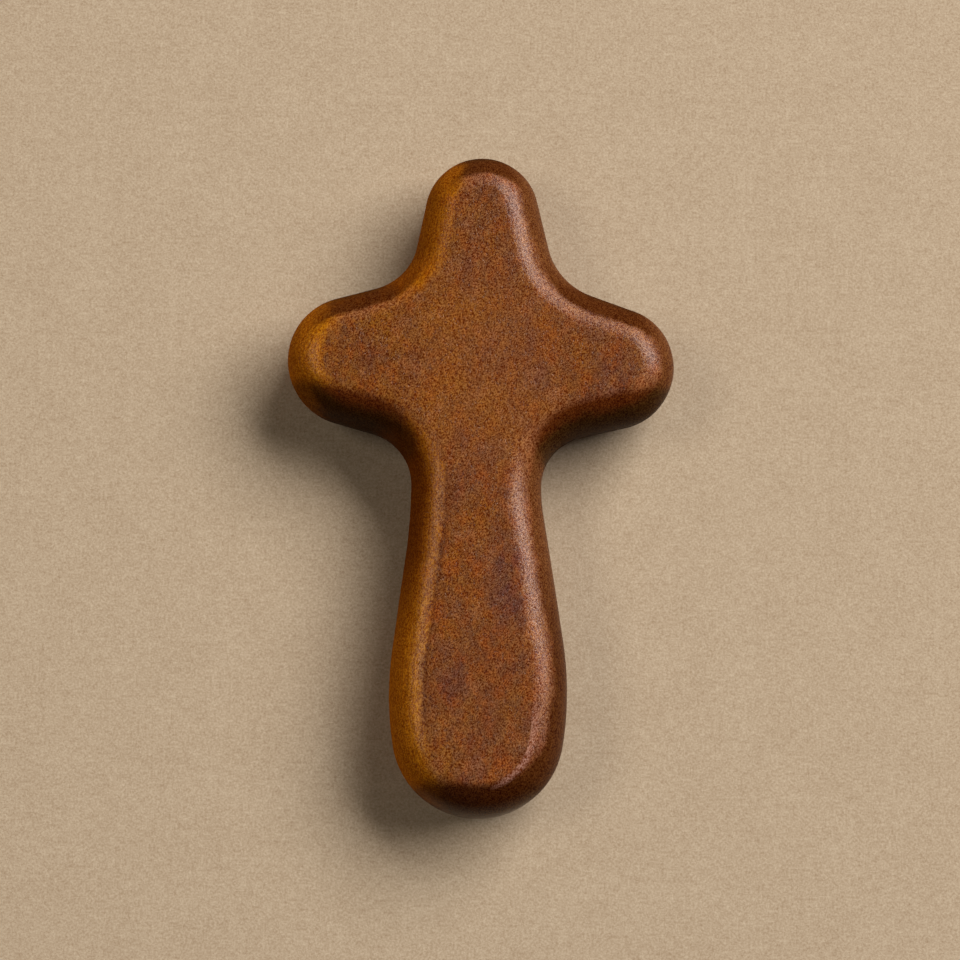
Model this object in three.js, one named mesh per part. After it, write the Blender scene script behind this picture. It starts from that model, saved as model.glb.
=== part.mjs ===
// A wooden cross to hold in the hand, cut from one board.
// The outline is sawn in round stretches, and both edges are rounded over all the way round.
// Millimetres, +X right, +Y towards the head, +Z up. The origin is under the middle of the
// outline, on the flat face that the cross lies on.
import * as THREE from 'three';

// Overall sizes
const LENGTH = 115;
const SPAN = 67.3;
const THICKNESS = 16;

// How far the rounded edges reach in over the flat faces. The faces were sanded last, so the
// rounding meets them at a slight angle, in degrees.
const ROUND_OVER = 6.3;
const FACE_BREAK = 8;

// Round ends
const HEAD_RADIUS = 10;
const RIGHT_TIP_RADIUS = 10.6;
const LEFT_TIP_RADIUS = 11.2;
const FOOT_RADIUS = 14.8;

// Heights of the arms' tips above the foot's end; the left arm was sawn a little higher
const RIGHT_ARM_HEIGHT = 78.1;
const LEFT_ARM_HEIGHT = 79;

// Round corners between the head and the arms: centre to the stem's axis, height of the
// centre above the foot's end, and radius
const UPPER_RIGHT_CORNER = { out: 23.2, height: 101.8, radius: 11.8 };
const UPPER_LEFT_CORNER = { out: 20.8, height: 101, radius: 9.6 };

// The waist, where the stem is narrowest, right under the arms: half the width on each side,
// radius of the corner above it, and radius of the long curve below it
const WAIST_HEIGHT = 57.2;
const RIGHT_WAIST = { halfWidth: 10.7, cornerRadius: 9, curveRadius: 31 };
const LEFT_WAIST = { halfWidth: 11.9, cornerRadius: 9.5, curveRadius: 90 };

// The foot's bulging sides, which run into its round end this many degrees below the
// level of the end's centre
const FOOT_SIDE_RADIUS = 57.5;
const FOOT_SIDE_ANGLE = 9;

// How finely the round stretches and the round edges are divided
const CHORD_HEIGHT = 0.02;
const EDGE_STEPS = 6;

const heightToY = (height) => height - LENGTH / 2;

// The outline's circles, anticlockwise from the head. A negative radius is an inward curve.
function outlineCircles() {
  const foot = { x: 0, y: heightToY(FOOT_RADIUS), radius: FOOT_RADIUS };
  const waistY = heightToY(WAIST_HEIGHT);
  const upperCorner = (side, corner) => ({
    x: side * corner.out, y: heightToY(corner.height), radius: -corner.radius,
  });
  const armTip = (side, height, radius) => ({
    x: side * (SPAN / 2 - radius), y: heightToY(height), radius,
  });
  // The corner under an arm and the long waist curve meet where the stem is narrowest
  const waistCurve = (side, halfWidth, radius) => ({
    x: side * (halfWidth + radius), y: waistY, radius: -radius,
  });
  // The bulging side touches the foot's round end from outside it
  const footSide = (side) => {
    const angle = THREE.MathUtils.degToRad(FOOT_SIDE_ANGLE);
    const reach = FOOT_SIDE_RADIUS - FOOT_RADIUS;
    return {
      x: foot.x - side * reach * Math.cos(angle),
      y: foot.y + reach * Math.sin(angle),
      radius: FOOT_SIDE_RADIUS,
    };
  };
  return [
    { x: 0, y: LENGTH / 2 - HEAD_RADIUS, radius: HEAD_RADIUS },
    upperCorner(-1, UPPER_LEFT_CORNER),
    armTip(-1, LEFT_ARM_HEIGHT, LEFT_TIP_RADIUS),
    waistCurve(-1, LEFT_WAIST.halfWidth, LEFT_WAIST.cornerRadius),
    waistCurve(-1, LEFT_WAIST.halfWidth, LEFT_WAIST.curveRadius),
    footSide(-1),
    foot,
    footSide(1),
    waistCurve(1, RIGHT_WAIST.halfWidth, RIGHT_WAIST.curveRadius),
    waistCurve(1, RIGHT_WAIST.halfWidth, RIGHT_WAIST.cornerRadius),
    armTip(1, RIGHT_ARM_HEIGHT, RIGHT_TIP_RADIUS),
    upperCorner(1, UPPER_RIGHT_CORNER),
  ];
}

// The outward direction of the straight line that touches two circles following each other
function tangentAngle(from, to) {
  const distance = Math.hypot(to.x - from.x, to.y - from.y);
  const along = Math.atan2(to.y - from.y, to.x - from.x);
  const lean = THREE.MathUtils.clamp((from.radius - to.radius) / distance, -1, 1);
  return along - Math.acos(lean);
}

// The outline's points, each with its outward direction
function outlinePoints() {
  const circles = outlineCircles();
  const points = [];
  circles.forEach((circle, i) => {
    const before = circles.at(i - 1);
    const after = circles[(i + 1) % circles.length];
    const start = tangentAngle(before, circle);
    const turn = tangentAngle(circle, after) - start;
    // Outward curves turn anticlockwise and inward ones clockwise, each by under a full turn
    const fullTurn = 2 * Math.PI;
    const left = ((turn % fullTurn) + fullTurn) % fullTurn;
    const sweep = circle.radius > 0 ? left : left - fullTurn;
    const step = 2 * Math.acos(1 - CHORD_HEIGHT / Math.abs(circle.radius));
    const steps = Math.ceil(Math.abs(sweep) / step);
    for (let k = 0; k <= steps; k += 1) {
      const angle = start + (sweep * k) / steps;
      const out = new THREE.Vector2(Math.cos(angle), Math.sin(angle));
      const at = new THREE.Vector2(circle.x, circle.y).addScaledVector(out, circle.radius);
      const last = points.at(-1);
      // Curves that touch without a straight stretch share the point where they meet
      if (!last || last.at.distanceTo(at) > 1e-3) points.push({ at, out });
    }
  });
  return points;
}

// The edge from the lower face round to the upper one: how far in from the outline, and how high
function edgeProfile() {
  const start = THREE.MathUtils.degToRad(FACE_BREAK);
  const radius = ROUND_OVER / (1 - Math.sin(start));
  const depth = Math.min(radius * Math.cos(start), THICKNESS / 2);
  const profile = [];
  for (let k = 0; k <= EDGE_STEPS; k += 1) {
    const angle = THREE.MathUtils.lerp(start, Math.PI / 2, k / EDGE_STEPS);
    profile.push({
      inset: radius * (1 - Math.sin(angle)),
      z: depth * (1 - Math.cos(angle) / Math.cos(start)),
    });
  }
  const upper = profile.map(({ inset, z }) => ({ inset, z: THICKNESS - z })).reverse();
  // In a thin board the two roundings meet without an upright band between them
  const meet = depth === THICKNESS / 2;
  return [...profile, ...upper.slice(meet ? 1 : 0)];
}

// Rings of the outline set in by the profile, joined up the edge and closed by two flat faces
function roundedBoard() {
  const outline = outlinePoints();
  const rings = edgeProfile().map(({ inset, z }) => outline.map(({ at, out }) => (
    new THREE.Vector3(at.x - out.x * inset, at.y - out.y * inset, z)
  )));
  const count = outline.length;
  const faces = [];
  for (let ring = 0; ring < rings.length - 1; ring += 1) {
    for (let k = 0; k < count; k += 1) {
      const next = (k + 1) % count;
      const a = ring * count + k;
      const b = ring * count + next;
      faces.push(a, b, b + count, a, b + count, a + count);
    }
  }
  const flat = rings[0].map(({ x, y }) => new THREE.Vector2(x, y));
  const topRing = (rings.length - 1) * count;
  THREE.ShapeUtils.triangulateShape(flat, []).forEach(([a, b, c]) => {
    faces.push(c, b, a);
    faces.push(topRing + a, topRing + b, topRing + c);
  });
  const geometry = new THREE.BufferGeometry().setFromPoints(rings.flat());
  geometry.setIndex(faces);
  geometry.computeVertexNormals();
  return geometry;
}

const varnishedWood = new THREE.MeshStandardMaterial({
  color: 0x72401e, roughness: 0.4, metalness: 0,
});

const body = new THREE.Mesh(roundedBoard(), varnishedWood);
body.name = 'cross_body';

const cross = new THREE.Group();
cross.add(body);

export default cross;
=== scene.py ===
"""A hand-held wooden cross lying on paper, lit by a broad window-like lamp from the upper right."""

import math

import bpy
import numpy as np
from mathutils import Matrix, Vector, noise
from mathutils.geometry import delaunay_2d_cdt


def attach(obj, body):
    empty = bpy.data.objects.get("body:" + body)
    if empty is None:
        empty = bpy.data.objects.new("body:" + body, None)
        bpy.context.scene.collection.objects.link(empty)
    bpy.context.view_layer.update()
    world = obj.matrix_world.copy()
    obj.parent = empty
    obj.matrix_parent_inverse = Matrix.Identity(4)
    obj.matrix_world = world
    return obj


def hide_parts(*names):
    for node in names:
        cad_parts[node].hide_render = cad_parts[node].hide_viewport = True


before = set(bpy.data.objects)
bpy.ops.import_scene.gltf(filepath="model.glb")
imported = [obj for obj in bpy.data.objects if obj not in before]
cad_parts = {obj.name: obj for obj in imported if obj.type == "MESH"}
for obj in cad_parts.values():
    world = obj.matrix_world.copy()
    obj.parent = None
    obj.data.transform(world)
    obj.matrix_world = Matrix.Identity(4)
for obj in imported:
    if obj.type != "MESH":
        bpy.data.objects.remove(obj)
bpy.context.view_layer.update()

MM = 0.001

# The cross's own sizes in millimetres, as in the CAD model
LENGTH = 115.0
SPAN = 67.3
THICKNESS = 16.0
ROUND_OVER = 6.3
HEAD_RADIUS = 10.0
RIGHT_TIP_RADIUS = 10.6
LEFT_TIP_RADIUS = 11.2
FOOT_RADIUS = 14.8

# Heights above the foot's end
RIGHT_ARM_HEIGHT = 78.1
LEFT_ARM_HEIGHT = 79.0
WAIST_HEIGHT = 57.2

# Corners between the head and the arms: centre to the stem's axis, centre's height, radius
UPPER_RIGHT_CORNER = (23.2, 101.8, 11.8)
UPPER_LEFT_CORNER = (20.8, 101.0, 9.6)

# The waist: half its width, radius of the corner above it, radius of the curve below it
RIGHT_WAIST = (10.7, 9.0, 31.0)
LEFT_WAIST = (11.9, 9.5, 90.0)

# The foot's bulging sides, which run into its round end this angle below its centre's level
FOOT_SIDE_RADIUS = 57.5
FOOT_SIDE_ANGLE = math.radians(9)

# The flat faces were sanded last, which leaves a faint line where the rounding starts
FACE_BREAK = math.radians(8)

# How finely the visible surface is divided, millimetres and steps
OUTLINE_STEP = 0.4
FACE_STEP = 0.8
EDGE_STEPS = 26
WALL_STEPS = 3

# Outline points closer than this are one point, millimetres
SAME_POINT = 0.02

# The faces' rows of points lie this share of a step apart, and stay this share of a step
# away from the rim
ROW_SHARE = 0.87
RIM_SHARE = 0.55

# Hand sanding takes off an even depth, and waves of two lengths, all in millimetres. The
# extra depth and the short waves are only on the edge.
SANDED = 0.02
SANDED_ON_EDGE = 0.015
WAVE_DEPTH = 0.03
LONG_WAVE = 11.0
LONG_WAVE_START = Vector((3.1, 7.7, 1.3))
SHORT_WAVE = 3.4
SHORT_WAVE_START = Vector((9.2, 0.4, 5.5))


def outline_circles():
    """The outline's circles, anticlockwise from the head. A negative radius curves inward."""
    def y(height):
        return height - LENGTH / 2

    def upper_corner(side, corner):
        out, height, radius = corner
        return side * out, y(height), -radius

    def arm_tip(side, height, radius):
        return side * (SPAN / 2 - radius), y(height), radius

    def waist_curve(side, half_width, radius):
        return side * (half_width + radius), y(WAIST_HEIGHT), -radius

    def foot_side(side):
        reach = FOOT_SIDE_RADIUS - FOOT_RADIUS
        x = -side * reach * math.cos(FOOT_SIDE_ANGLE)
        return x, y(FOOT_RADIUS) + reach * math.sin(FOOT_SIDE_ANGLE), FOOT_SIDE_RADIUS

    left, left_corner, left_curve = LEFT_WAIST
    right, right_corner, right_curve = RIGHT_WAIST
    return [
        (0.0, LENGTH / 2 - HEAD_RADIUS, HEAD_RADIUS),
        upper_corner(-1, UPPER_LEFT_CORNER),
        arm_tip(-1, LEFT_ARM_HEIGHT, LEFT_TIP_RADIUS),
        waist_curve(-1, left, left_corner),
        waist_curve(-1, left, left_curve),
        foot_side(-1),
        (0.0, y(FOOT_RADIUS), FOOT_RADIUS),
        foot_side(1),
        waist_curve(1, right, right_curve),
        waist_curve(1, right, right_corner),
        arm_tip(1, RIGHT_ARM_HEIGHT, RIGHT_TIP_RADIUS),
        upper_corner(1, UPPER_RIGHT_CORNER),
    ]


def tangent_angle(start, end):
    """The outward direction of the line that touches both circles."""
    dx = end[0] - start[0]
    dy = end[1] - start[1]
    lean = max(-1.0, min(1.0, (start[2] - end[2]) / math.hypot(dx, dy)))
    return math.atan2(dy, dx) - math.acos(lean)


def outline_points():
    """Points and outward directions round the outline, about OUTLINE_STEP apart."""
    circles = outline_circles()
    points = []
    outward = []

    def add(point, direction):
        if not points or np.hypot(*(point - points[-1])) > SAME_POINT:
            points.append(point)
            outward.append(direction)

    for i, (cx, cy, radius) in enumerate(circles):
        after = circles[(i + 1) % len(circles)]
        first = tangent_angle(circles[i - 1], circles[i])
        last = tangent_angle(circles[i], after)
        sweep = (last - first) % (2 * math.pi)
        if radius < 0:
            sweep -= 2 * math.pi
        steps = max(1, round(abs(sweep * radius) / OUTLINE_STEP))
        for k in range(steps + 1):
            angle = first + sweep * k / steps
            direction = np.array([math.cos(angle), math.sin(angle)])
            add(np.array([cx, cy]) + direction * radius, direction)
        # The straight stretch to where the next curve starts
        end = points[-1]
        target = np.array(after[:2]) + direction * after[2]
        length = np.hypot(*(target - end))
        for k in range(1, round(length / OUTLINE_STEP)):
            add(end + (target - end) * k * OUTLINE_STEP / length, direction)
    return np.array(points), np.array(outward)


def edge_profile():
    """(inset, height) from the lower face's rim round to the upper face's rim."""
    radius = ROUND_OVER / (1 - math.sin(FACE_BREAK))
    drop = radius * math.cos(FACE_BREAK)
    lower = []
    for k in range(EDGE_STEPS + 1):
        angle = FACE_BREAK + (math.pi / 2 - FACE_BREAK) * k / EDGE_STEPS
        lower.append((radius * (1 - math.sin(angle)), drop - radius * math.cos(angle)))
    wall = [(0.0, drop + (THICKNESS - 2 * drop) * k / WALL_STEPS) for k in range(1, WALL_STEPS)]
    upper = [(inset, THICKNESS - height) for inset, height in reversed(lower)]
    return lower + wall + upper


def face_points(rim):
    """The flat face inside its rim: points and triangles, the rim's points first."""
    ring = [Vector(p) for p in rim]
    low = rim.min(0)
    high = rim.max(0)
    grid = []
    row = 0
    y = low[1] + FACE_STEP / 2
    while y < high[1]:
        # Every other row is set half a step to the side
        x = low[0] + FACE_STEP * (0.5 if row % 2 else 0.0)
        while x < high[0]:
            gap = np.hypot(rim[:, 0] - x, rim[:, 1] - y).min()
            if gap > FACE_STEP * RIM_SHARE:
                grid.append(Vector((x, y)))
            x += FACE_STEP
        y += FACE_STEP * ROW_SHARE
        row += 1
    loop = [(k, (k + 1) % len(ring)) for k in range(len(ring))]
    inside_only = 1
    same_point = 1e-6
    verts, _, faces, _, _, _ = delaunay_2d_cdt(ring + grid, loop, [], inside_only, same_point)
    # The grid points outside the rim are in no triangle and are left out
    used = sorted({i for face in faces for i in face})
    number = {old: new for new, old in enumerate(used)}
    triangles = [tuple(number[i] for i in face) for face in faces]
    return np.array([tuple(verts[i]) for i in used]), triangles


def build_cross():
    """The smooth board: rings of the outline up the edge, closed by two flat faces."""
    outline, outward = outline_points()
    profile = edge_profile()
    count = len(outline)
    rings = []
    for inset, height in profile:
        ring = outline - outward * inset
        rings.append(np.column_stack([ring, np.full(count, height)]))
    edge = np.concatenate(rings)
    faces = []
    for ring in range(len(profile) - 1):
        for k in range(count):
            a = ring * count + k
            b = ring * count + (k + 1) % count
            faces.append((a, b, b + count, a + count))
    flat, triangles = face_points(rings[0][:, :2])
    inner = flat[count:]
    top_ring = (len(profile) - 1) * count
    verts = [edge]
    start = len(edge)
    for height, ring_start, flip in ((0.0, 0, True), (THICKNESS, top_ring, False)):
        verts.append(np.column_stack([inner, np.full(len(inner), height)]))
        for triangle in triangles:
            ids = [i + ring_start if i < count else i - count + start for i in triangle]
            faces.append(tuple(reversed(ids)) if flip else tuple(ids))
        start += len(inner)
    return np.concatenate(verts), faces


def surface_normals(verts, faces):
    """Each point's normal, from the faces round it."""
    normals = np.zeros_like(verts)
    for face in faces:
        a, b, c = verts[face[0]], verts[face[1]], verts[face[2]]
        across = np.cross(b - a, c - a)
        for i in face:
            normals[i] += across
    return normals / np.linalg.norm(normals, axis=1)[:, None]


def hand_sanding(verts, normals):
    """Sets the surface in unevenly, by up to about a tenth of a millimetre, as sanding does."""
    out = verts.copy()
    for i, (point, normal) in enumerate(zip(verts, normals)):
        p = Vector(point)
        long_wave = noise.noise(p / LONG_WAVE + LONG_WAVE_START)
        short_wave = noise.noise(p / SHORT_WAVE + SHORT_WAVE_START)
        on_edge = 1.0 - abs(normal[2])
        depth = SANDED + WAVE_DEPTH * long_wave
        depth += on_edge * (SANDED_ON_EDGE + WAVE_DEPTH * short_wave)
        out[i] = point - normal * max(0.0, depth)
    return out


def mesh_object(name, verts, faces, material):
    mesh = bpy.data.meshes.new(name)
    mesh.from_pydata([tuple(v) for v in verts], [], faces)
    mesh.validate()
    mesh.polygons.foreach_set("use_smooth", [True] * len(mesh.polygons))
    mesh.update()
    made = bpy.data.objects.new(name, mesh)
    bpy.context.scene.collection.objects.link(made)
    mesh.materials.append(material)
    return made


class Nodes:
    """A material's node tree, with short calls for the nodes that it uses."""

    def __init__(self, name):
        self.material = bpy.data.materials.new(name)
        self.material.use_nodes = True
        self.tree = self.material.node_tree
        coords = self.tree.nodes.new("ShaderNodeTexCoord").outputs
        self.normal = coords["Normal"]
        self.mm = self.mapped(coords["Object"], (1 / MM, 1 / MM, 1 / MM))

    def put(self, socket, value):
        if isinstance(value, bpy.types.NodeSocket):
            self.tree.links.new(value, socket)
        else:
            socket.default_value = value

    def shade(self, values):
        """Sets or links sockets of the shader."""
        shader = self.tree.nodes["Principled BSDF"]
        for name, value in values.items():
            self.put(shader.inputs[name], value)

    def split(self, vector):
        made = self.tree.nodes.new("ShaderNodeSeparateXYZ")
        self.put(made.inputs["Vector"], vector)
        return tuple(made.outputs)

    def join(self, x, y, z):
        made = self.tree.nodes.new("ShaderNodeCombineXYZ")
        for socket, value in zip(made.inputs, (x, y, z)):
            self.put(socket, value)
        return made.outputs["Vector"]

    def math(self, operation, *values):
        made = self.tree.nodes.new("ShaderNodeMath")
        made.operation = operation
        for socket, value in zip(made.inputs, values):
            self.put(socket, value)
        return made.outputs["Value"]

    def chain(self, operation, first, *others):
        """The operation carried out on the values one after another."""
        for other in others:
            first = self.math(operation, first, other)
        return first

    def add(self, *values):
        return self.chain("ADD", *values)

    def subtract(self, *values):
        return self.chain("SUBTRACT", *values)

    def multiply(self, *values):
        return self.chain("MULTIPLY", *values)

    def highest(self, *values):
        return self.chain("MAXIMUM", *values)

    def mapped(self, vector, scale, start=(0, 0, 0)):
        made = self.tree.nodes.new("ShaderNodeMapping")
        self.put(made.inputs["Vector"], vector)
        made.inputs["Scale"].default_value = scale
        made.inputs["Location"].default_value = start
        return made.outputs["Vector"]

    def noise(self, vector, spots, start=(0, 0, 0), detail=2.0, roughness=0.5):
        """Noise from 0 to 1, with so many spots to the millimetre along each axis."""
        made = self.tree.nodes.new("ShaderNodeTexNoise")
        self.put(made.inputs["Vector"], self.mapped(vector, spots, start))
        made.inputs["Scale"].default_value = 1.0
        made.inputs["Detail"].default_value = detail
        made.inputs["Roughness"].default_value = roughness
        return made.outputs["Fac"]

    def span(self, value, low, high, to_low=0.0, to_high=1.0, smooth=False):
        """Runs from to_low to to_high while the value runs from low to high, and no further."""
        made = self.tree.nodes.new("ShaderNodeMapRange")
        if smooth:
            made.interpolation_type = "SMOOTHSTEP"
        self.put(made.inputs["Value"], value)
        made.inputs["From Min"].default_value = low
        made.inputs["From Max"].default_value = high
        made.inputs["To Min"].default_value = to_low
        made.inputs["To Max"].default_value = to_high
        return made.outputs[0]

    def band(self, value, start, full, fading, end):
        """1 while the value is between full and fading, and 0 outside start and end."""
        return self.multiply(self.span(value, end, fading), self.span(value, start, full))

    def mix(self, factor, a, b, blend="MIX"):
        made = self.tree.nodes.new("ShaderNodeMix")
        made.data_type = "RGBA"
        made.blend_type = blend
        self.put(made.inputs["Factor"], factor)
        self.put(made.inputs["A"], a)
        self.put(made.inputs["B"], b)
        return made.outputs["Result"]

    def overlaid(self, colour, overlays):
        """The colour with stains and painted light mixed over it in turn, each given as its share
        and colour.
        """
        for share, stain_and_painted_light in overlays:
            colour = self.mix(share, colour, stain_and_painted_light)
        return colour

    def bump(self, height, strength):
        made = self.tree.nodes.new("ShaderNodeBump")
        made.inputs["Strength"].default_value = strength
        made.inputs["Distance"].default_value = 0.1 * MM
        self.put(made.inputs["Height"], height)
        return made.outputs["Normal"]


def rgb(red, green, blue):
    """A colour given as it looks on screen, 0 to 255."""
    def linear(c):
        c /= 255
        return c / 12.92 if c <= 0.04045 else ((c + 0.055) / 1.055) ** 2.4

    return linear(red), linear(green), linear(blue), 1.0


# The stain on the faces: two browns in broad patches, and what varies them
PLUM = rgb(99, 54, 27)
PLUM_ON_LEFT = rgb(101, 53, 18)
AMBER = rgb(129, 71, 15)
AMBER_ON_LEFT = rgb(127, 70, 5)
RUST = rgb(137, 63, 13)
HONEY = rgb(130, 76, 18)
WALNUT = rgb(104, 57, 18)
STRAW = rgb(142, 87, 28)
BRICK = rgb(146, 70, 12)
DUN = rgb(92, 56, 26)
TOFFEE = rgb(144, 81, 20)
# Painted sheen, where the face starts to round over and tilts towards the light
PAINTED_SHEEN = rgb(158, 95, 40)

# Golden colour on the upper and the lower part of the slopes that face left: partly a thin golden
# stain, partly painted light on that side
GOLD = rgb(168, 94, 5)
PALE_GOLD = rgb(189, 111, 7)
COPPER = rgb(164, 79, 6)
BRONZE = rgb(126, 66, 8)
LOW_GOLD = rgb(123, 58, 3)
LOW_PALE_GOLD = rgb(178, 98, 8)

# Painted shade low on the edge, with darker growth lines in it
LOW_BROWN = rgb(78, 36, 5)
LOW_BROWN_ON_RIGHT = rgb(100, 53, 12)
LOW_BROWN_AT_FOOT = rgb(76, 36, 5)
LOW_LINES = rgb(66, 32, 5)

# End grain, on the arms and at the foot, each high and low on the edge: the end grain's own darker
# stain, with painted shade on the slopes that face away from the light
ARM_END = rgb(88, 37, 4)
ARM_END_LOW = rgb(64, 35, 5)
FOOT_END = rgb(63, 27, 3)
FOOT_END_LOW = rgb(76, 42, 8)

# The break between the face and the edge: a line of painted shade, and a line of painted highlight
DARK_BREAK = rgb(88, 40, 6)
BREAK_HIGHLIGHT = rgb(186, 126, 74)

# The speckle multiplies the wood's colour by the first where it is dark, and divides it by
# the second where it is light
SPECKLE_DARK = rgb(181, 127, 56)
SPECKLE_LIGHT = rgb(210, 187, 124)
PORE = rgb(52, 26, 10)

# How far the wood's figure leans from the stem towards the right
FIGURE_LEAN = math.radians(35)

# How far the growth layers wander up and down, broadly and finely, in millimetres, and how
# fast the broad and the thin ones follow each other, in radians to the millimetre
LAYER_WANDER = 5.0
LAYER_WOBBLE = 0.7
BROAD_LAYERS = 3.3
THIN_LAYERS = 15.0

# Where the stain changes, in millimetres from the cross's middle: each change begins at the
# first place and is full at the second
TOWARDS_FOOT = (-12.0, -28.0)
TOWARDS_FOOT_END = (-35.0, -45.0)
TOWARDS_LEFT_TIP = (-20.0, -31.0)
TOWARDS_HEAD = (32.0, 44.0)
TOWARDS_LEFT = (4.0, -16.0)
BESIDE_CROSSING = (6.0, 18.0)
ABOVE_CROSSING = (28.0, 44.0)
BELOW_CROSSING = (10.0, -4.0)

# The stretch of the stem where the painted shade line lies: it begins, is full, fades and ends
DARK_BREAK_STRETCH = (-44.0, -36.0, -4.0, 8.0)

# The same for how far the surface faces up on the two breaks
DARK_BREAK_SLOPE = (0.983, 0.992, 0.9985, 0.9998)
BREAK_HIGHLIGHT_SLOPE = (0.93, 0.96, 0.978, 0.992)

# Paper
BUFF_DARK = rgb(166, 140, 112)
BUFF_LIGHT = rgb(216, 197, 170)
PAPER_SPECK = rgb(140, 112, 84)


class Wood(Nodes):
    """Stained and varnished wood, with painted shade and painted light on its edges.

    x, y and z are places in millimetres. to_right and to_head say how far the surface faces
    +X and +Y, from -1 to 1, and flatness how far it faces straight up or down, from 0 to 1.
    """

    def __init__(self):
        super().__init__("varnished_wood")
        self.x, self.y, self.z = self.split(self.mm)
        self.to_right, self.to_head, upward = self.split(self.normal)
        self.to_foot = self.multiply(self.to_head, -1.0)
        self.flatness = self.math("ABSOLUTE", upward)

        # Patterns in the board, of which the figure and the speckle lie aslant
        across = self.subtract(self.multiply(self.x, math.cos(FIGURE_LEAN)),
                               self.multiply(self.y, math.sin(FIGURE_LEAN)))
        along = self.add(self.multiply(self.x, math.sin(FIGURE_LEAN)),
                         self.multiply(self.y, math.cos(FIGURE_LEAN)))
        aslant = self.join(across, along, self.z)
        self.figure = self.noise(aslant, (0.75, 0.07, 0.75), (4, 4, 4), detail=3.0, roughness=0.6)
        self.speckle = self.noise(aslant, (5.2, 2.8, 5.2), roughness=0.7)
        self.fleck = self.noise(self.mm, (1.7, 1.0, 1.7), roughness=0.6)
        pores = self.noise(self.mm, (3.6, 1.9, 3.6), (5, 2, 8), detail=1.0)
        self.pore = self.span(pores, 0.6, 0.74)
        self.patch = self.noise(self.mm, (0.15, 0.1, 0.15), (2, 9, 4), detail=3.0)
        self.blotch = self.noise(self.mm, (0.3, 0.24, 0.3), (6, 3, 1), detail=3.0, roughness=0.6)
        self.streak = self.noise(self.mm, (0.55, 0.16, 0.55), (7, 1, 3))
        self.tint = self.noise(self.mm, (0.6, 0.4, 0.6), (1, 5, 2), roughness=0.6)
        self.broad_layers, self.thin_layers = self.layers()

        # Where the stain is thin, where painted light and painted shade lie on the edge, and the
        # end grain
        self.near_foot = self.span(self.y, *TOWARDS_FOOT)
        near_left_tip = self.span(self.x, *TOWARDS_LEFT_TIP)
        self.thinnest = self.highest(self.near_foot, near_left_tip)
        leftward = self.add(self.to_right, self.stray(self.streak, 0.07))
        over_tip = self.subtract(leftward, self.multiply(near_left_tip, 0.24))
        # Painted light, with some thin stain: the slopes that face left turn golden
        self.golden = self.span(over_tip, -0.1, -0.4, smooth=True)
        self.golden_low = self.span(leftward, -0.12, -0.62, smooth=True)
        self.slope = self.add(self.flatness, self.stray(self.blotch, 0.06))
        self.height_on_edge = self.painted_shade_height()
        # Painted shade low on the edge
        self.low = self.span(self.height_on_edge, 0.91, 0.66, smooth=True)
        # End grain, with painted shade on the slopes that face away from the light
        self.end_grain_and_shade = self.end_grain_and_shade_share()

    def stray(self, pattern, most):
        """A number that strays from 0 with the pattern, by up to this much."""
        return self.span(pattern, 0.3, 0.7, -most, most)

    def at_foot(self, elsewhere, there):
        """A number that has another value at the foot than elsewhere."""
        return self.span(self.near_foot, 0.0, 1.0, elsewhere, there)

    def layers(self):
        """Growth layers, broad and thin. They lie almost level in the board, so they show as
        lines along the rounded edges."""
        wander = self.noise(self.mm, (0.075, 0.03, 0.05), detail=3.0)
        wobble = self.noise(self.mm, (0.35, 0.12, 0.3))
        level = self.add(self.z, self.multiply(wander, LAYER_WANDER),
                         self.multiply(wobble, LAYER_WOBBLE))
        broad = self.math("SINE", self.multiply(level, BROAD_LAYERS))
        thin = self.math("SINE", self.multiply(level, THIN_LAYERS))
        return self.span(broad, -1.0, 1.0), self.span(thin, -0.2, 1.0)

    def painted_shade_height(self):
        """About 1 on the faces, and less down the edge. The painted shade low on the edge begins at
        a set value, so this is lowered where that shade reaches higher: on the slopes that face the
        head, at the foot's right, and a little on the gold."""
        headward = self.highest(self.subtract(self.to_head, 0.35), 0.0)
        foot_right = self.multiply(self.near_foot, self.span(self.to_right, 0.0, 0.1, 0.0, 0.9),
                                   self.highest(self.to_foot, 0.0))
        return self.subtract(self.slope, self.multiply(headward, 1.1), foot_right,
                             self.multiply(self.golden, 0.05))

    def end_grain_and_shade_share(self):
        """End grain is open and drinks the stain on the slopes that face the foot, and painted
        shade darkens these slopes too, as they face away from the light: far round the arms'
        undersides, and in a narrower arch at the foot. On the head side the end grain and its
        painted shade show low down."""
        sideways = self.math("ABSOLUTE", self.to_right)
        arch = self.subtract(self.to_foot, self.multiply(sideways, self.at_foot(0.12, 0.64)))
        arch = self.add(arch, self.at_foot(-0.01, 0.08), self.stray(self.blotch, 0.03))
        footward = self.span(arch, 0.14, 0.36, smooth=True)
        return self.highest(footward, self.span(self.to_head, 0.74, 1.0, smooth=True))

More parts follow.
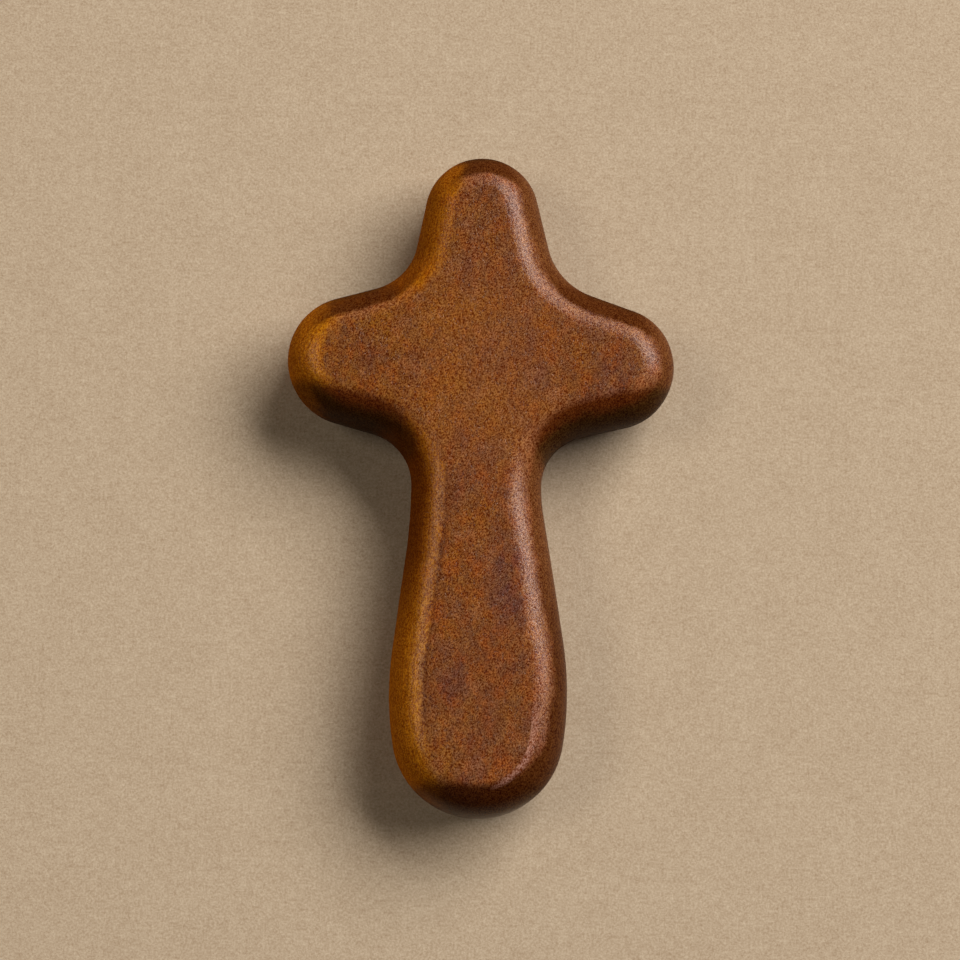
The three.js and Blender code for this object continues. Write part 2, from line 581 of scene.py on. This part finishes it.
    def face_stain_and_sheen(self):
        """The faces' brown, paler in the middle of the crossing, with a painted sheen where the
        rounding starts.
        """
        left = self.span(self.x, *TOWARDS_LEFT)
        plum = self.mix(left, PLUM, PLUM_ON_LEFT)
        amber = self.mix(left, AMBER, AMBER_ON_LEFT)
        aside = self.span(self.math("ABSOLUTE", self.x), *BESIDE_CROSSING)
        above = self.span(self.y, *ABOVE_CROSSING)
        below = self.span(self.y, *BELOW_CROSSING)
        crossing = self.subtract(1.0, self.highest(aside, above, below))
        return self.overlaid(self.mix(self.span(self.patch, 0.34, 0.66), plum, amber), [
            (self.span(self.blotch, 0.5, 0.66, 0.0, 0.55), RUST),
            (self.span(self.streak, 0.45, 0.7, 0.0, 0.4), HONEY),
            (self.multiply(self.broad_layers, 0.2), WALNUT),
            (self.span(self.figure, 0.5, 0.7, 0.0, 0.5), STRAW),
            (self.span(self.tint, 0.52, 0.68, 0.0, 0.4), BRICK),
            (self.span(self.tint, 0.48, 0.32, 0.0, 0.4), DUN),
            (self.multiply(crossing, 0.4), TOFFEE),
            # Painted sheen where the rounding starts
            (self.span(self.slope, 1.0, 0.92, 0.0, 0.35, smooth=True), PAINTED_SHEEN),
        ])

    def golden_stain_and_light(self):
        """The golden colour on the slopes that face left, partly thin stain and partly painted
        light, thinnest at the foot and the arm's tip.
        """
        return self.overlaid(self.mix(self.thinnest, GOLD, PALE_GOLD), [
            (self.span(self.blotch, 0.5, 0.68, 0.0, 0.5), COPPER),
            (self.multiply(self.thin_layers, 0.4), BRONZE),
        ])

    def low_shade_and_light(self):
        """Painted shade low on the edge, dark except where it faces left, where painted light makes
        it golden; growth lines run through it.
        """
        near_head = self.span(self.y, *TOWARDS_HEAD)
        paler = self.highest(self.thinnest, self.multiply(near_head, 0.7))
        return self.overlaid(LOW_BROWN, [
            (self.span(self.to_right, 0.3, 0.8, smooth=True), LOW_BROWN_ON_RIGHT),
            (self.near_foot, LOW_BROWN_AT_FOOT),
            (self.golden_low, self.mix(paler, LOW_GOLD, LOW_PALE_GOLD)),
            (self.multiply(self.thin_layers, 0.2), LOW_LINES),
        ])

    def end_stain_and_shade(self):
        """The end grain's stain, with its painted shade."""
        on_arms = self.mix(self.low, ARM_END, ARM_END_LOW)
        on_foot = self.mix(self.span(self.flatness, 0.75, 0.4), FOOT_END, FOOT_END_LOW)
        return self.mix(self.near_foot, on_arms, on_foot)

    def painted_break_shade(self):
        """A line of painted shade down the left of the stem, in the break between the face and the
        slope.
        """
        return self.multiply(
            self.band(self.flatness, *DARK_BREAK_SLOPE),
            self.span(self.to_right, -0.02, -0.06, 0.0, 0.55),
            self.band(self.y, *DARK_BREAK_STRETCH),
            self.span(self.streak, 0.35, 0.6, 0.4, 1.0),
        )

    def painted_break_highlight(self):
        """A painted highlight along the same break on the right of the foot."""
        return self.multiply(
            self.band(self.flatness, *BREAK_HIGHLIGHT_SLOPE),
            self.span(self.to_right, 0.06, 0.15, 0.0, 0.38),
            self.span(self.y, *TOWARDS_FOOT_END),
        )

    def colour(self):
        """The whole stain with its painted shade and light, and the speckle and pores. The speckle
        is fainter on the gold.
        """
        end_share = self.subtract(1.0, self.multiply(self.golden_low, 0.4))
        stain_and_painted_light = self.overlaid(self.face_stain_and_sheen(), [
            (self.golden, self.golden_stain_and_light()),
            (self.low, self.low_shade_and_light()),
            (self.multiply(self.end_grain_and_shade, end_share), self.end_stain_and_shade()),
            # Painted shade line in the break on the stem's left
            (self.painted_break_shade(), DARK_BREAK),
            # Painted highlight along the break at the foot's right
            (self.painted_break_highlight(), BREAK_HIGHLIGHT),
        ])
        light = self.mix(1.0, stain_and_painted_light, SPECKLE_LIGHT, "DIVIDE")
        dark = self.mix(1.0, stain_and_painted_light, SPECKLE_DARK, "MULTIPLY")
        tone = self.add(self.multiply(self.speckle, 0.8), self.multiply(self.fleck, 0.2))
        return self.overlaid(self.mix(self.span(tone, 0.42, 0.58), dark, light), [
            (self.multiply(self.golden, 0.3), stain_and_painted_light),
            (self.multiply(self.pore, 0.3), PORE),
        ])

    def varnish(self):
        """How much the varnish shines: most on the faces and the upper edge. Lower down it is
        rubbed dull, less so on the right and at the foot. The upper slopes that face the head
        are rubbed a little too."""
        kept_foot = self.multiply(self.span(self.to_foot, 0.5, 0.9), self.near_foot)
        kept = self.highest(self.span(self.to_right, 0.4, 0.95, 0.05, 0.55),
                            self.span(self.to_foot, 0.6, 0.95, 0.05, 0.38), kept_foot)
        on_top = self.span(self.height_on_edge, 0.64, 0.9, smooth=True)
        rubbed = self.multiply(self.span(self.to_head, 0.12, 0.3, 0.0, 0.45),
                               self.span(self.flatness, 0.86, 0.93))
        return self.multiply(
            self.highest(on_top, kept),
            self.subtract(1.0, rubbed),
            self.span(self.y, 0.0, 25.0, 1.0, 0.82),
            self.span(self.speckle, 0.38, 0.62, 0.7, 1.0),
        )

    def relief(self):
        """The surface's fine unevenness, with the pores sunk into it."""
        height = self.add(self.multiply(self.speckle, 0.6), self.multiply(self.fleck, 0.8))
        return self.bump(self.subtract(height, self.multiply(self.pore, 0.4)), 0.7)


def varnished_wood():
    wood = Wood()
    relief = wood.relief()
    wood.shade({
        "Base Color": wood.colour(),
        "Roughness": 0.6,
        "Specular IOR Level": 0.0,
        "Coat Weight": wood.varnish(),
        "Coat Roughness": 0.21,
        "Coat IOR": 1.36,
        "Normal": relief,
        "Coat Normal": relief,
    })
    return wood.material


def paper():
    """Buff paper with fine pulp, faint clouds and a few dark specks."""
    n = Nodes("paper")

    def spots(per_mm, start=(0, 0, 0), **kind):
        return n.noise(n.mm, (per_mm, per_mm, per_mm), start, **kind)

    pulp = spots(2.4, roughness=0.8)
    clump = spots(0.7, (1, 8, 2), roughness=0.7)
    cloud = spots(0.12, detail=3.0, roughness=0.6)
    speck = spots(0.8, (3, 3, 3), detail=3.0, roughness=0.8)
    tone = n.add(n.multiply(pulp, 0.65), n.multiply(clump, 0.25), n.multiply(cloud, 0.1))
    buff = n.mix(n.span(tone, 0.3, 0.7), BUFF_DARK, BUFF_LIGHT)
    n.shade({
        "Base Color": n.mix(n.span(speck, 0.7, 0.8, 0.0, 0.35), buff, PAPER_SPECK),
        "Roughness": 0.9,
        "Specular IOR Level": 0.2,
        "Normal": n.bump(pulp, 0.3),
    })
    return n.material


points, polygons = build_cross()
points = hand_sanding(points, surface_normals(points, polygons))
cross = mesh_object("wooden_cross", points * MM, polygons, varnished_wood())
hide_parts("cross_body")
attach(cross, "root")

# The sheet of paper that the cross lies on, and half its side in metres
FLOOR_HALF = 0.9
floor_corners = [(-1, -1), (1, -1), (1, 1), (-1, 1)]
floor = mesh_object(
    "floor", [(cx * FLOOR_HALF, cy * FLOOR_HALF, 0.0) for cx, cy in floor_corners],
    [(0, 1, 2, 3)], paper(),
)

# The camera looks down from slightly below the foot, turned a little about its own axis
TARGET = Vector((0.03, 0.86, 8.0)) * MM
DISTANCE = 430 * MM
TILT = math.radians(6.5)
TURN = math.radians(0.48)
VIEW_WIDTH = 166.7 * MM
SENSOR = 36.0
NEAREST = 10 * MM

camera = bpy.data.objects.new("camera", bpy.data.cameras.new("camera"))
bpy.context.scene.collection.objects.link(camera)
camera.data.sensor_width = SENSOR
camera.data.lens = SENSOR * DISTANCE / VIEW_WIDTH
camera.data.clip_start = NEAREST
camera.location = TARGET + Vector((0, -math.sin(TILT), math.cos(TILT))) * DISTANCE
camera.rotation_euler = (TILT, 0, 0)
camera.rotation_euler.rotate_axis("Z", TURN)
bpy.context.scene.camera = camera


def lamp(name, azimuth, off_vertical, distance, width, height, power, colour):
    """A rectangular lamp aimed at the cross: angles in degrees, the azimuth anticlockwise
    from +X, sizes in metres and the power in watts."""
    data = bpy.data.lights.new(name, "AREA")
    data.shape = "RECTANGLE"
    data.size = width
    data.size_y = height
    data.energy = power
    data.color = colour
    made = bpy.data.objects.new(name, data)
    bpy.context.scene.collection.objects.link(made)
    a = math.radians(azimuth)
    o = math.radians(off_vertical)
    towards = Vector((math.sin(o) * math.cos(a), math.sin(o) * math.sin(a), math.cos(o)))
    made.location = towards * distance
    made.rotation_euler = towards.to_track_quat("Z", "Y").to_euler()


lamp("window", azimuth=39, off_vertical=51.5, distance=2.8, width=2.7, height=1.35,
     power=117, colour=(1.0, 0.97, 0.94))
lamp("fill", azimuth=168, off_vertical=41, distance=2.0, width=0.9, height=0.6,
     power=7, colour=(1.0, 0.93, 0.82))

# A little light comes back from the room
ROOM_COLOUR = (1.0, 0.97, 0.93, 1.0)
ROOM_STRENGTH = 0.015
world = bpy.data.worlds.new("room")
bpy.context.scene.world = world
world.use_nodes = True
world.node_tree.nodes["Background"].inputs["Color"].default_value = ROOM_COLOUR
world.node_tree.nodes["Background"].inputs["Strength"].default_value = ROOM_STRENGTH

bpy.context.scene.view_settings.view_transform = "Standard"
